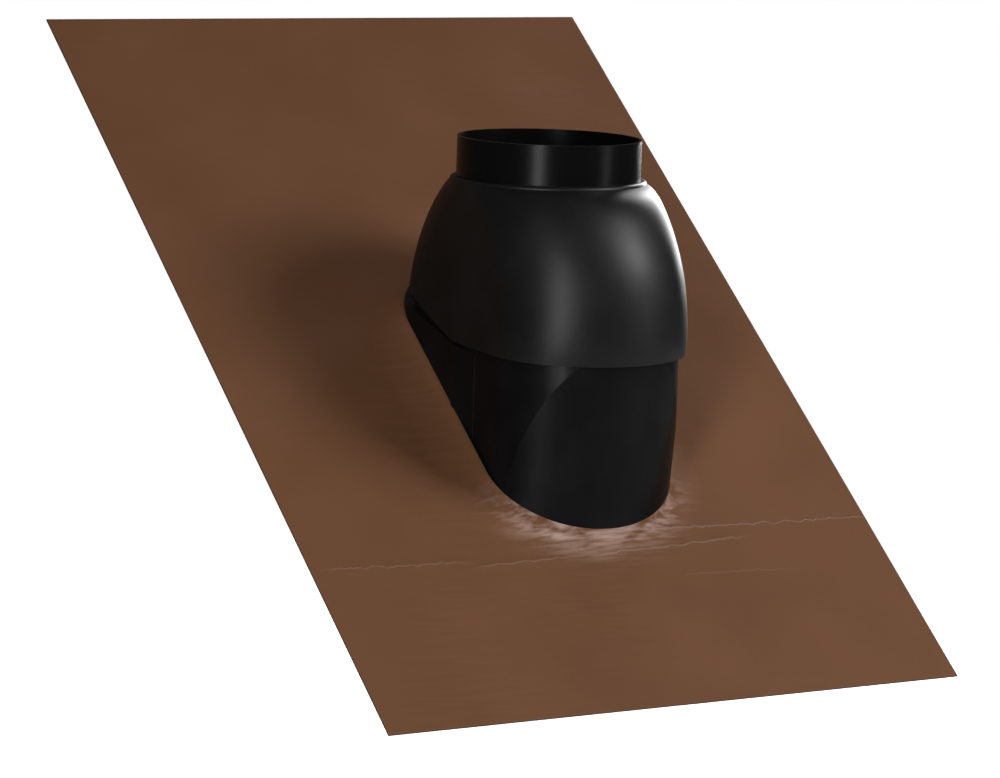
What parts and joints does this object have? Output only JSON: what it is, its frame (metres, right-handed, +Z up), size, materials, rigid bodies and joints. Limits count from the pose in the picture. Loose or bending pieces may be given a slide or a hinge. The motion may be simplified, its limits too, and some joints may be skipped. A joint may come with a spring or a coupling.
{
  "type": "pipe flashing boot",
  "caption": "Roof flashing boot for a vertical pipe: soft sheet drawn up round a leaning lower body, and a drum-shaped hood with a round collar that tilts to the roof's pitch.",
  "frame": {"origin": "where the pipe's axis crosses the top face of the flashing sheet", "axes": "+Z up along the pipe's axis, +X across the roof, to the right seen from the eaves, +Y horizontally towards the ridge; the sheet slopes up at 38 degrees"},
  "size_m": [0.6, 0.71, 0.5552],
  "materials": {
    "brown_sheet": "brown coated soft sheet, finely creased",
    "black_satin": "satin black moulded plastic",
    "black_grained": "fine-grained black moulded plastic"
  },
  "bodies": {
    "base": {"flashing_sheet": "brown_sheet", "lower_body": "black_satin"},
    "hood": {"hood": "black_grained"}
  },
  "joints": [
    {"name": "hood_tilt", "type": "hinge", "parent": "base", "child": "hood", "pos_m": [0, -0.005, 0.086], "axis": [1, 0, 0], "range_deg": [-7, 8]}
  ]
}
